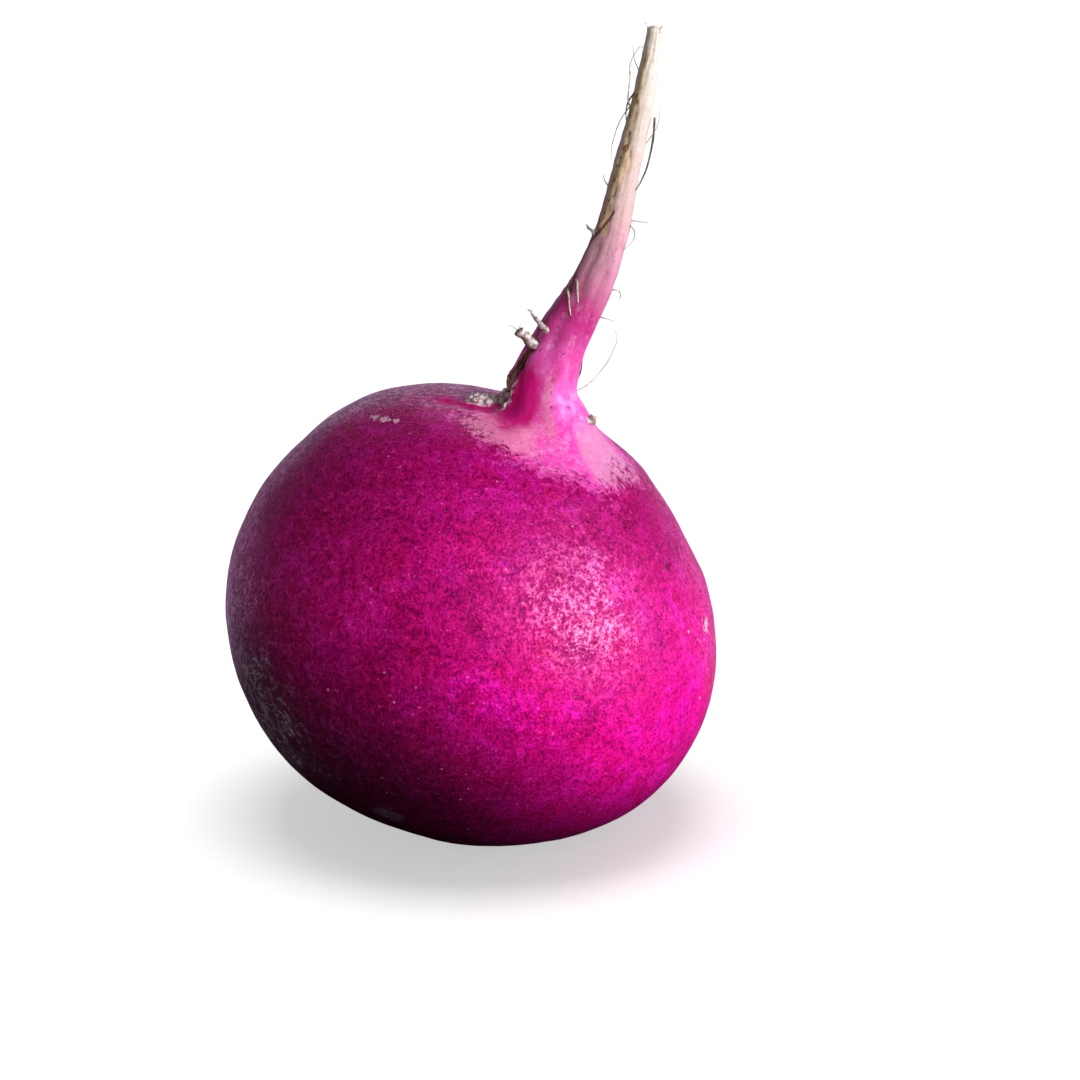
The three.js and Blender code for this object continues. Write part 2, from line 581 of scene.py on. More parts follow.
class Skin:
    """The root's surface as a grid of points, and what is painted on it."""

    def __init__(self, sizes):
        self.spine = Spine(sizes)
        rows = outline(sizes)
        self.past = (rows[:, 0] - self.spine.top) / MM
        self.radius = rows[:, 1] / MM
        centre, _, side, back = self.spine.at(rows[:, 0])
        angle = np.arange(AROUND) * 2 * math.pi / AROUND + math.pi / 2
        ring = (
            np.cos(angle)[None, :, None] * side[:, None, :]
            + np.sin(angle)[None, :, None] * back[:, None, :]
        )
        points = centre[:, None, :] + rows[:, 1][:, None, None] * ring
        self.points = swell(points)
        self.turn = np.degrees(angle)[None, :] % 360 * np.ones((ROWS, 1))
        self.past_grid = self.past[:, None] * np.ones((1, AROUND))
        self.radius_grid = self.radius[:, None] * np.ones((1, AROUND))
        self.out = self.points - BODY_CENTRE
        self.out /= np.linalg.norm(self.out, axis=-1, keepdims=True)
        self.on_body = 1 - smoothstep(self.past_grid, -0.5, 1.5)
        self.paint = {}
        self.paint_masks()
        self.carve(sizes.relief)

    def near(self, direction, reach):
        """1 at a direction from the body's centre, fading to 0 at reach degrees from it."""
        cosine = np.clip(self.out @ unit(direction), -1, 1)
        return 1 - smoothstep(np.degrees(np.arccos(cosine)), 0, reach)

    def paint_masks(self):
        past, turn, radius = self.past_grid, self.turn, self.radius_grid
        paint = self.paint
        ragged = lumps(self.points, 1.6 * MM, 3.1)
        fine = lumps(self.points, 0.6 * MM, 9.7, 2)
        # deep fold at the foot of the neck, which runs out to the left as a groove
        fold = between(past + 0.5 * ragged, -0.5, 3.1, 1.2)
        fold = fold * np.exp(-((angle_from(turn, 233) / 38) ** 2))
        joint = between(past, 0.1, 1.5, 0.5) * between(turn, 165, 240, 10)
        groove_turn = np.radians(angle_from(turn, 167))
        outward = radius * np.cos(groove_turn)
        backward = -radius * np.sin(groove_turn)
        groove = np.exp(-(((backward + 1.9) / 1.0) ** 2)) * between(outward, 2.6, 7.4, 0.9)
        on_top = between(past, -2.2, 1.2, 0.3)
        paint["hollow"] = np.maximum(np.maximum(fold, 0.8 * joint), 0.85 * groove * on_top)
        # pale ring, widest in front and to the right
        reach = 7.7 + 1.9 * np.cos(np.radians(turn - 300))
        pale = 1 - smoothstep(radius, reach - 4.4, reach + 1.6 + 1.3 * ragged)
        paint["pale"] = np.maximum(pale * (past > -5), smoothstep(past, 0.0, 1.5))
        tan = between(turn, 205, 268, 16) * between(radius, 3.4, 7.6, 1.3) * (past > -4)
        strip = between(past, -0.8, 4.0, 0.8)
        strip = strip * (1 - smoothstep(np.abs(angle_from(turn, 277)), 5, 16))
        paint["tan"] = np.maximum(tan * (past < 1), 0.7 * strip)
        frost = between(turn, 305, 356, 12) * between(radius, 3.6, 8.6, 1.4)
        paint["frost"] = frost * (past > -4) * (past < 1)
        # crack up the left of the neck, and cork around its foot
        across = angle_from(turn, 186 + 4.6 * past) + 9 * ragged + 5 * fine
        gash_length = between(past, 0.5, 5.2, 0.5)
        half = 11.5 - 1.1 * past
        paint["gash"] = gash_length * (1 - smoothstep(np.abs(across), half, half + 8))
        crust = between(outward, 1.9, 5.4, 0.6) * between(backward, -1.3, 0.5, 0.4)
        lips = between(past, 0.2, 2.2, 0.5) * between(np.abs(across), 10, 22, 6)
        crust = np.maximum(crust * on_top, 0.6 * lips)
        paint["cork"] = np.clip(crust * smoothstep(ragged + 0.5 * fine, -0.6, 0.0), 0, 1)
        # ochre stain along the left third of the taproot
        middle = 234 + 8 * np.sin(past * 0.7) + 9 * ragged
        width = 22 + 8 * np.sin(past * 1.3 + 1)
        stain = between(past, 14.6, 28.4, 0.7)
        away = np.abs(angle_from(turn, middle))
        paint["stain"] = stain * (1 - smoothstep(away, width - 9, width + 9))
        # dark line across the taproot, then thin and brown down its left side
        track = np.interp(past, (9.5, 11.0, 12.5, 13.9, 16.4), (214, 196, 192, 200, 254))
        line = between(past, 9.0, 16.6, 0.4)
        off = np.abs(angle_from(turn, track + 6 * fine))
        paint["track"] = line * (1 - smoothstep(off, 3.0, 10))
        # rubbed skin, the rough edge of the crown, a small dent and pale scurf
        rubbed = self.near(RUBBED_SIDE, 37) * (1 + 0.5 * ragged)
        paint["rubbed"] = np.clip(rubbed, 0, 1) * self.on_body
        paint["crown_edge"] = self.near(CROWN_EDGE, 8)
        paint["dent"] = self.near(DENT, 2.6)
        spots = [
            self.near(way, 3 * math.degrees(size * MM / BODY_RADIUS)) for way, size in SCURF
        ]
        paint["scurf"] = np.max(spots, axis=0)
        crown = (1 - smoothstep(radius + 0.5 * ragged, 4.4, 5.4)) * (past < -20)
        paint["crown"] = crown
        paint["ground"] = 1 - smoothstep(self.points[..., 2] / MM, 0.0, 0.7)
        # painted shade: the skin is lightest at the middle, darker at the shoulder and on two
        # shaded sides, darkest at the crown
        level = self.out @ -self.spine.axis
        tone = 1 + 0.30 * np.exp(-(((level + 0.05) / 0.28) ** 2))
        tone -= 0.34 * smoothstep(-level, 0.45, 0.80) + 0.50 * smoothstep(level, 0.1, 0.65)
        tone = tone * (1 - 0.58 * self.near(PAINTED_SHADE_LOW_FRONT, 62))
        paint["tone"] = tone * (1 - 0.36 * self.near(PAINTED_SHADE_LEFT, 85))
        paint["along"] = past
        self.ragged = ragged
        self.fine = fine

    def carve(self, strength):
        """Moves the surface in and out, in millimetres."""
        past, turn = self.past_grid, self.turn
        paint, ragged, fine = self.paint, self.ragged, self.fine
        angle = np.radians(turn)
        broad = lumps(self.points, 7 * MM, 1.3, 2)
        relief = 0.10 * broad * self.on_body + 0.02 * ragged * self.on_body
        relief -= 0.34 * paint["hollow"]
        relief += paint["cork"] * (0.20 + 0.34 * np.abs(fine) + 0.12 * ragged)
        relief -= paint["gash"] * (0.30 + 0.20 * fine)
        relief -= 0.10 * paint["dent"]
        # folds that run down the neck and twist up the taproot
        twist = angle + 0.05 * past
        folds = 0.09 * np.cos(3 * twist + 0.8) + 0.05 * np.cos(7 * twist + 2.0 + ragged)
        relief += folds * between(past, -1.5, 14, 1.5)
        fibres = lumps(
            np.stack([np.cos(angle) * 1.6, np.sin(angle) * 1.6, past * 0.22], -1),
            1.0,
            5.5,
        )
        relief += 0.055 * fibres * smoothstep(past, 1, 6)
        rings = lumps(
            np.stack([np.cos(angle) * 0.5, np.sin(angle) * 0.5, past * 1.5], -1),
            1.0,
            2.2,
            2,
        )
        relief += 0.05 * rings * smoothstep(past, 2, 8)
        relief += paint["stain"] * (0.03 + 0.13 * fine - 0.10 * np.abs(ragged))
        relief -= 0.06 * paint["track"]
        # leaf scars round the crown
        scars = np.cos(9 * angle + 2.5 * ragged) * between(
            self.radius_grid, 1.8, 4.3, 0.6
        )
        relief += paint["crown"] * (0.16 * scars + 0.10 * fine)
        relief += 0.06 * fine * paint["crown_edge"]
        relief *= strength
        self.points = self.points + grid_normals(self.points) * relief[..., None] * MM
        # the flat spot that it stands on
        z = self.points[..., 2]
        self.points[..., 2] = 0.5 * (z + np.sqrt(z * z + (0.10 * MM) ** 2)) - 0.01 * MM
        self.points[..., 2] = np.maximum(self.points[..., 2], 0)


# ---------------------------------------------------------------- mesh helpers


def mesh_object(name, points, faces, material):
    """A smooth-shaded object."""
    mesh = bpy.data.meshes.new(name)
    mesh.from_pydata([tuple(p) for p in points], [], faces)
    mesh.validate()
    mesh.materials.append(material)
    for polygon in mesh.polygons:
        polygon.use_smooth = True
    made = bpy.data.objects.new(name, mesh)
    bpy.context.scene.collection.objects.link(made)
    return made


def ring_faces(rows, around):
    """Quads between rings of a closed grid."""
    faces = []
    for i in range(rows - 1):
        for j in range(around):
            k = (j + 1) % around
            faces.append(
                (
                    i * around + j,
                    i * around + k,
                    (i + 1) * around + k,
                    (i + 1) * around + j,
                )
            )
    return faces


def tube(points, radii, sides=8, flat=1.0):
    """Points and faces of a tapering tube along a line, closed at both ends."""
    points = np.asarray(points, float)
    tangents = np.gradient(points, axis=0)
    tangents /= np.linalg.norm(tangents, axis=1, keepdims=True)
    helper = unit((0.31, 0.83, 0.46))
    first = np.cross(tangents, helper)
    first /= np.linalg.norm(first, axis=1, keepdims=True)
    second = np.cross(tangents, first)
    angle = np.arange(sides) * 2 * math.pi / sides
    radii = np.asarray(radii)[:, None, None]
    rings = points[:, None, :] + radii * (
        np.cos(angle)[None, :, None] * first[:, None, :]
        + flat * np.sin(angle)[None, :, None] * second[:, None, :]
    )
    count = len(points)
    vertices = np.concatenate([rings.reshape(-1, 3), points[:1], points[-1:]])
    faces = ring_faces(count, sides)
    for j in range(sides):
        k = (j + 1) % sides
        faces.append((count * sides, k, j))
        faces.append((count * sides + 1, (count - 1) * sides + j, (count - 1) * sides + k))
    return vertices, faces


def joined(parts):
    """One list of points and faces from several."""
    points, faces, offset = [], [], 0
    for vertices, polygons in parts:
        points.append(vertices)
        faces += [tuple(v + offset for v in polygon) for polygon in polygons]
        offset += len(vertices)
    return np.concatenate(points), faces


def add_wrap_map(made, rows, heights):
    """UVs that wrap round the root, with the seam at the back."""
    layer = made.data.uv_layers.new(name="OFBake")
    top = rows * AROUND
    values = np.zeros((len(made.data.loops), 2))
    for polygon in made.data.polygons:
        corners = [made.data.loops[i].vertex_index for i in polygon.loop_indices]
        columns = [v % AROUND for v in corners if v < top]
        wraps = max(columns) - min(columns) > AROUND / 2
        for loop, vertex in zip(polygon.loop_indices, corners):
            if vertex >= top:
                column = min(columns) + 0.5
                height = 0.0 if vertex == top else 1.0
            else:
                column = vertex % AROUND
                height = heights[vertex // AROUND]
            if wraps and column < AROUND / 2:
                column += AROUND
            values[loop] = (column / AROUND, height)
    layer.data.foreach_set("uv", (values * 0.996 + 0.002).ravel())


# ---------------------------------------------------------------- materials


def skin_material(colours):
    """The skin of the whole root: body, neck, taproot, cork, crack and underside."""
    net = Net(bpy.data.materials.new("radish_skin"))
    place = net.millimetres()
    along = net.painted("along")
    pale = net.painted("pale")
    stain = net.painted("stain")
    rubbed = net.painted("rubbed")
    # painted shade stored on the mesh: darker at the crown, the shoulder and two sides
    tone = net.painted("tone")
    patches = net.noise(place, 0.11, 2.0)
    hue = net.noise(net.scaled(place, (1.0, 1.2, 0.9)), 0.26, 3.0, 0.6)
    mottle = net.noise(place, 0.62, 4.0, 0.62)
    fleck = net.noise(place, 2.2, 2.0, 0.7)
    grain = net.noise(place, 5.0, 2.0, 0.75)
    sprinkle = net.noise(net.scaled(place, (1.0, -1.0, 1.1)), 3.3, 2.0, 0.7)

    # body colour: broad patches, crimson and violet flecks, then fine grain and painted shade
    depth = patches * 0.45 + mottle * 0.65 + fleck * 0.25
    deep = net.mix(net.step(depth, 0.46, 0.68), colours.skin_deep, colours.skin)
    body = net.mix(net.step(depth, 0.66, 0.90), deep, colours.skin_bright)
    tint = hue * 0.8 + sprinkle * 1.1 + mottle * 0.3
    body = net.mix(net.step(tint, 1.12, 1.45) * 0.75, body, (0.38, 0.002, 0.22))
    body = net.mix((1 - net.step(tint, 0.74, 1.05)) * 0.75, body, (0.54, 0.001, 0.07))
    # fine grain, times the painted shade
    body = net.shade(body, (2.9 * grain + 1.4 * fleck - 1.12).at_least(0.42) * tone)
    # pale pores, specks and short scratches
    pores = 1 - net.step(net.cells(place, 0.40) + 0.10 * fleck, 0.070, 0.100)
    faint = 1 - net.step(net.cells(place, 0.92), 0.060, 0.115)
    body = net.mix(faint * 0.35, body, (0.62, 0.10, 0.26))
    body = net.mix(pores * 0.85, body, (0.86, 0.44, 0.50))
    cluster = net.step(hue, 0.50, 0.62)
    scratches = net.strokes(place, (0.4, 0.7, 0.3), (1.5, 0.17, 0.17), 0.73, 0.79)
    other = net.strokes(place, (1.3, -0.8, 1.1), (1.2, 0.15, 0.15), 0.74, 0.80)
    scratches = scratches.at_least(other) * cluster
    body = net.mix(scratches * 0.55, body, (0.70, 0.18, 0.44))
    # a dull film and thin pale lines where the skin is rubbed, then rough spots and scurf
    film = net.step(rubbed + 0.5 * mottle + 0.3 * fleck - 0.4, 0.25, 1.1)
    body = net.mix(film * 0.55, body, (0.15, 0.06, 0.13))
    wave = net.noise(net.turned(place, (0.0, 0.72, 0.2), (2.6, 1.0, 0.8)), 0.8, 3.0, 0.6)
    ridge = 1 - net.step(abs(wave - 0.5), 0.004, 0.026)
    second = net.noise(net.turned(place, (0.3, -0.4, 0.0), (1.8, 0.9, 0.7)), 0.9, 3.0)
    ridge = ridge.at_least(1 - net.step(abs(second - 0.5), 0.003, 0.020))
    web = ridge * net.step(rubbed + 1.4 * mottle + 0.6 * fleck - 1.05, 0.30, 0.75)
    body = net.mix(web * 0.75, body, (0.86, 0.64, 0.85))
    rough_edge = net.step(net.painted("crown_edge") + fleck - 0.5, 0.25, 0.8)
    body = net.mix(rough_edge * 0.6, body, (0.30, 0.16, 0.30))
    dent = net.step(net.painted("dent") + fleck - 0.5, 0.3, 0.8)
    body = net.mix(dent * 0.8, body, (0.10, 0.001, 0.04))
    scurf = net.step(net.painted("scurf") * 0.8 + 1.9 * fleck + 1.1 * grain - 1.45, 0.53, 0.72)
    body = net.mix(scurf * 0.85, body, (0.80, 0.50, 0.56))

    # neck and taproot colour
    wander = along + mottle * 5.0 - 2.5
    taper = net.ramp(
        (wander + 4.0) * (1 / 36.0),
        (
            (0.00, colours.shoulder),
            (0.20, colours.shoulder),
            (0.34, colours.blush),
            (0.45, (0.66, 0.31, 0.39)),
            (0.58, colours.flesh),
            (0.76, (0.72, 0.62, 0.49)),
            (0.95, colours.tip),
        ),
    )
    blotch = net.step(mottle * 0.8 + patches * 0.5, 0.62, 0.80)
    window = net.step(along, 4.0, 7.0) * (1 - net.step(along, 12.0, 17.0))
    taper = net.mix(blotch * window * 0.7, taper, colours.blush)
    # soft pale and crimson clouds on the neck
    cloud = net.noise(net.turned(place, (0.0, 0.25, 0.0), (0.75, 0.75, 1.7)), 1.0, 3.0, 0.65)
    low_neck = 1 - net.step(along, 7.0, 11.0)
    taper = net.mix(net.step(cloud, 0.52, 0.68) * low_neck * 0.5, taper, (0.80, 0.38, 0.58))
    crimson = (1 - net.step(cloud, 0.34, 0.48)) * low_neck
    taper = net.mix(crimson * 0.6, taper, (0.68, 0.035, 0.27))
    # crimson grains all over the pale ring, and tan ones on its left
    grains = net.step(fleck * 0.7 + sprinkle * 0.6 + mottle * 0.5, 0.85, 1.00)
    ring = 1 - net.step(along, -0.6, 1.6)
    taper = net.mix(grains * ring * 0.66, taper, (0.70, 0.010, 0.29))
    tan = net.painted("tan")
    tan_grains = net.step(tan + 1.3 * fleck + 1.0 * grain - 1.15, 0.35, 0.80)
    taper = net.mix(tan_grains * 0.34, taper, (0.66, 0.38, 0.28))
    frost = net.step(net.painted("frost") + 0.8 * fleck + 0.4 * grain - 0.6, 0.30, 0.90)
    taper = net.mix(frost * 0.55, taper, (0.60, 0.33, 0.42))
    taper = net.shade(taper, 0.55 + 0.55 * grain + 0.35 * fleck)
    ragged = 1.1 * fleck + 0.8 * mottle + 0.5 * grain - 1.2
    edge = net.step(pale + 1.5 * ragged * net.step(pale, 0.0, 0.3), 0.15, 0.75)
    root = net.mix(edge, body, taper)
    fold = net.step(net.painted("hollow") + 0.5 * fleck + 0.4 * mottle - 0.45, 0.12, 0.75)
    root = net.mix(fold * 0.95, root, (0.56, 0.0012, 0.16))

    # stain, brown line, cork and crack
    pitted = net.noise(net.turned(place, (0.0, 0.3, 0.0), (0.34, 0.34, 0.7)), 1.0, 3.0, 0.7)
    holes = net.step(pitted, 0.54, 0.62)
    stain_mask = net.step(stain + 0.6 * fleck + 0.4 * grain - 0.5, 0.22, 0.6)
    streak = net.noise(net.turned(place, (0.0, 0.3, 0.0), (0.35, 0.35, 1.6)), 1.0, 3.0, 0.6)
    stain_mask = stain_mask * net.step(streak + 0.4 * stain, 0.60, 0.84)
    root = net.mix(stain_mask * 0.66, root, colours.ochre)
    root = net.mix(stain_mask * holes * 0.9, root, (0.18, 0.075, 0.025))
    line = net.step(net.painted("track") + 0.6 * fleck - 0.3, 0.35, 0.75)
    root = net.mix(line * 0.85, root, (0.16, 0.075, 0.055))
    crumb = net.step(net.painted("cork") + 0.5 * fleck - 0.25, 0.2, 0.5)
    cork_colour = net.mix(net.step(fleck, 0.36, 0.60), (0.10, 0.05, 0.04), colours.cork)
    root = net.mix(crumb, root, cork_colour)
    crack = net.step(net.painted("gash") + 0.8 * fleck - 0.4, 0.30, 0.62)
    fibre = net.noise(net.turned(place, (0.0, 0.3, 0.0), (0.3, 0.3, 2.0)), 1.0, 3.0, 0.7)
    bark = net.mix(net.step(fibre, 0.40, 0.62), colours.bark, (0.26, 0.13, 0.07))
    lower = 1 - net.step(along + fleck, 2.0, 3.2)
    bark = net.mix(lower * net.step(fleck + 0.5 * fibre, 0.60, 0.80), bark, (0.52, 0.34, 0.28))
    root = net.mix(crack, root, bark)

    # underside: cut leaf bases and the spot that it stands on
    scar = net.mix(net.step(mottle, 0.40, 0.60), (0.28, 0.20, 0.10), (0.52, 0.50, 0.30))
    crown = net.step(net.painted("crown") + 0.3 * grain - 0.15, 0.3, 0.6)
    root = net.mix(crown, root, scar)
    dull = net.step(net.painted("ground") + 0.4 * grain - 0.2, 0.4, 0.9)
    root = net.mix(dull * 0.45, root, (0.33, 0.12, 0.24))

    # surface
    height = mottle * 0.6 + fleck * (1.0 + 0.9 * net.painted("cork")) + grain * 0.9
    smooth_neck = 1 - 0.82 * edge
    normal = net.bump(height * smooth_neck, 0.10 * MM, 0.85)
    dry = crumb.at_least(crack).at_least(film * 0.45).at_least(stain_mask * 0.6)
    roughness = 0.22 + 0.16 * mottle + 0.16 * fleck + dry * 0.45
    wax = net.step(fleck * 0.9 + grain * 1.0 + mottle * 0.5, 1.14, 1.42)
    return net.finish(
        {
            "Base Color": root,
            "Roughness": roughness.at_most(0.95),
            "Normal": normal,
            "Specular IOR Level": 0.25,
            "Specular Tint": (1.0, 0.4, 0.95, 1.0),
            "Coat Weight": wax * (1 - dry) * (1 - 0.5 * edge),
            "Coat Roughness": 0.27,
            "Coat IOR": 1.7,
            "Subsurface Weight": 0.20,
            "Subsurface Radius": (1.0, 0.60, 0.50),
            "Subsurface Scale": 1.2 * MM,
        }
    )


def rootlet_material(name, base, dark):
    """Thin root skin that varies between two colours."""
    net = Net(bpy.data.materials.new(name))
    place = net.millimetres()
    grain = net.noise(place, 2.6, 3.0, 0.6)
    base_wire = net.mix(net.step(grain, 0.42, 0.62), dark, base)
    return net.finish(
        {
            "Base Color": base_wire,
            "Roughness": 0.55 + 0.25 * grain,
            "Normal": net.bump(grain, 0.03 * MM, 0.7),
            "Subsurface Weight": 0.12,
            "Subsurface Radius": (1.0, 0.7, 0.5),
            "Subsurface Scale": 0.3 * MM,
        }
    )


def cork_material(colours):
    """Dry cork with pale grains and dark pits."""
    net = Net(bpy.data.materials.new("radish_cork"))
    place = net.millimetres()
    grain = net.noise(place, 3.0, 4.0, 0.7)
    pits = net.step(net.noise(place, 1.9, 2.0), 0.55, 0.66)
    base = net.mix(net.step(grain, 0.36, 0.54), (0.34, 0.20, 0.19), colours.cork)
    base = net.mix(net.step(grain, 0.54, 0.68) * 0.8, base, (0.95, 0.84, 0.88))
    base = net.mix(pits * 0.6, base, (0.10, 0.05, 0.04))
    return net.finish(
        {
            "Base Color": base,
            "Roughness": 0.75 + 0.2 * grain,
            "Normal": net.bump(grain - pits * 0.6, 0.10 * MM, 0.9),
        }
    )


# ---------------------------------------------------------------- operators


class RADISH_OT_skin(bpy.types.Operator):
    """Build the root: body, neck and taproot as one skin"""

    bl_idname = "radish.skin"
    bl_label = "Root"

    def execute(self, context):
        scene = context.scene
        skin = Skin(scene.radish_sizes)
        top = ROWS * AROUND
        crown = skin.points[0].mean(axis=0)
        tip = skin.points[-1].mean(axis=0) + unit((0.15, 0, 1)) * 0.12 * MM
        points = np.concatenate([skin.points.reshape(-1, 3), [crown], [tip]])
        faces = ring_faces(ROWS, AROUND)
        last = (ROWS - 1) * AROUND
        for j in range(AROUND):
            k = (j + 1) % AROUND
            faces.append((top, k, j))
            faces.append((top + 1, last + j, last + k))
        made = mesh_object(
            "radish_skin", points, faces, skin_material(scene.radish_colours)
        )
        for name, values in skin.paint.items():
            layer = made.data.attributes.new(name, "FLOAT", "POINT")
            ends = [values[0].mean(), values[-1].mean()]
            layer.data.foreach_set("value", np.concatenate([values.ravel(), ends]))
        middle = skin.points.mean(axis=1)
        ring = skin.points - middle[:, None, :]
        reach = np.linalg.norm(ring, axis=-1).mean(axis=1)
        path = np.stack([lengths_along(middle), reach], 1)
        heights = lengths_along(path)
        heights = 0.004 + 0.992 * heights / heights[-1]
        add_wrap_map(made, ROWS, heights)
        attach(made, ROOT_BODY)
        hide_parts(ROOT_NODE)
        return {"FINISHED"}


class RADISH_OT_stumps(bpy.types.Operator):
    """Build the short stumps of side roots on the neck"""

    bl_idname = "radish.stumps"
    bl_label = "Side root stumps"

    def execute(self, context):
        scene = context.scene
        spine = Spine(scene.radish_sizes)
        material = rootlet_material(
            "stump_skin", scene.radish_colours.rootlet, (0.30, 0.22, 0.18)
        )
        # Each has its radius at the root and at the end, then points as
        # (place past the body, turn, distance out from the skin).
        stumps = (
            (0.40, 0.43, ((4.8, 222, -0.5), (5.0, 212, 0.3), (5.3, 205, 1.0), (5.5, 203, 1.5))),
            (0.30, 0.05, ((6.1, 228, -0.3), (6.4, 218, 0.5), (6.7, 208, 1.2), (7.0, 205, 1.9))),
            (0.46, 0.26, ((-0.1, 340, -0.4), (0.0, 340, 0.1), (0.2, 341, 0.4))),
            (0.17, 0.03, ((14.1, 195, -0.2), (14.5, 192, 0.3), (14.9, 190, 0.8))),
        )
        parts = []
        for thick, thin, stations in stumps:
            line = smooth_line([spine.on_taproot(*at) for at in stations], 0.25, 8)
            share = np.linspace(0, 1, len(line))
            radii = (thick + (thin - thick) * share**1.2) * MM
            line = np.concatenate([line, line[-1:] + (line[-1:] - line[-2:-1]) * 0.02])
            radii = np.append(radii, radii[-1] * 0.86)
            vertices, faces = tube(line, radii, 16, 0.72)
            wobble = lumps(vertices, 0.40 * MM, 4.4, 3)
            parts.append((vertices + wobble[:, None] * (0.08 * MM, 0.05 * MM, 0.09 * MM), faces))
        points, faces = joined(parts)
        made = mesh_object("side_root_stumps", points, faces, material)
        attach(made, ROOT_BODY)
        return {"FINISHED"}


class RADISH_OT_rootlets(bpy.types.Operator):
    """Build the thin rootlets and root hairs of the taproot"""

    bl_idname = "radish.rootlets"
    bl_label = "Rootlets and hairs"

    def execute(self, context):
        scene = context.scene
        colours = scene.radish_colours
        spine = Spine(scene.radish_sizes)
        thick = scene.radish_sizes.rootlet_radius
        # Each is a share of the thickest radius, then points as
        # (place past the body, turn, distance out from the skin).
        pale = (
            (0.80, ((10.6, 212, 0.0), (10.4, 226, 0.12), (9.8, 240, 0.14), (9.2, 252, 0.0))),
            (0.80, ((9.5, 200, 0.0), (9.2, 222, 0.12), (8.6, 240, 0.14), (8.1, 253, 0.0))),
            (0.30, ((2.3, 350, -0.1), (3.2, 0, 0.8), (4.4, 10, 1.6), (5.6, 5, 1.85),
                    (6.8, 0, 1.9), (7.9, 0, 1.8), (8.6, 350, 1.2))),
            (0.36, ((8.8, 340, -0.1), (9.0, 340, 0.6), (9.1, 340, 1.1))),
            (0.42, ((10.8, 345, -0.1), (10.9, 350, 0.4), (10.7, 353, 0.65), (10.3, 356, 0.7))),
            (0.38, ((15.9, 345, -0.1), (16.0, 345, 0.6), (16.1, 342, 1.3))),
            (0.40, ((15.6, 340, 0.0), (15.2, 348, 0.4), (14.5, 350, 0.38), (13.8, 335, 0.0))),
            (0.34, ((24.2, 190, 0.0), (23.0, 190, 0.45), (21.8, 190, 0.55), (20.8, 190, 0.5),
                    (20.0, 195, 0.3))),
            (0.50, ((24.0, 200, 0.0), (24.6, 194, 0.3), (25.5, 192, 0.45), (26.7, 190, 0.6))),
            (0.30, ((26.4, 190, 0.6), (27.3, 190, 0.75), (28.2, 192, 0.55), (28.7, 200, 0.3),
                    (28.2, 220, 0.0))),
            (0.34, ((29.6, 200, 0.0), (30.3, 196, 0.15), (31.0, 190, 0.35))),
            (0.34, ((29.8, 300, 0.0), (30.5, 310, 0.1), (31.0, 318, 0.2))),
            (0.30, ((29.7, 250, -0.1), (30.5, 252, 0.0), (31.1, 258, 0.05))),
            (0.30, ((26.8, 186, 0.0), (27.6, 182, 0.5), (28.6, 178, 0.85))),
            (0.40, ((18.0, 195, -0.1), (18.4, 190, 0.3), (18.8, 188, 0.55))),
            (0.28, ((21.5, 8, 0.0), (23.0, 6, 0.6), (24.6, 4, 0.55))),
            (0.24, ((5.4, 203, 1.4), (5.5, 197, 1.8), (5.4, 190, 2.1))),
            (0.26, ((5.3, 206, 1.3), (5.7, 204, 1.6), (6.0, 203, 1.7))),
            (0.50, ((7.4, 92, -0.1), (8.2, 88, 0.5), (9.6, 80, 0.7), (11.0, 84, 0.3))),
            (0.45, ((12.6, 120, 0.0), (13.6, 112, 0.3), (14.8, 116, 0.2), (15.6, 122, 0.0))),
            (0.36, ((17.4, 66, -0.1), (18.0, 62, 0.6), (18.3, 58, 1.3))),
            (0.36, ((21.4, 112, 0.0), (22.8, 104, 0.5), (24.4, 100, 0.5), (25.2, 96, 0.9))),
            (0.55, ((5.0, 58, -0.1), (5.4, 54, 0.5), (5.6, 50, 1.2))),
        )
        dark = (
            (0.70, ((23.7, 345, 0.3), (22.4, 355, 0.45), (21.3, 355, 0.5), (19.9, 352, 0.45),
                    (18.9, 346, 0.25), (18.1, 340, 0.0))),
            (0.50, ((25.2, 200, 0.0), (24.4, 192, 0.25), (23.6, 192, 0.2), (22.9, 198, 0.0))),
            (0.55, ((3.4, 338, 0.0), (4.2, 346, 0.12), (5.1, 350, 0.0))),
            (0.50, ((19.8, 84, 0.0), (20.9, 78, 0.35), (22.2, 80, 0.3), (23.0, 88, 0.0))),
        )
        for name, sets, base, shade in (
            ("rootlets_pale", pale, colours.rootlet, (0.36, 0.28, 0.20)),
            ("rootlets_dark", dark, (0.20, 0.17, 0.12), (0.05, 0.035, 0.025)),
        ):
            parts = []
            for size, stations in sets:
                knots = [spine.on_taproot(*station) for station in stations]
                line = smooth_line(knots, 0.25, 9)
                share = np.linspace(0, 1, len(line))
                radii = thick * size * (1 - 0.62 * share**1.5)
                parts.append(tube(line, radii, 8))
            points, faces = joined(parts)
            made = mesh_object(name, points, faces, rootlet_material(name, base, shade))
            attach(made, ROOT_BODY)
        return {"FINISHED"}


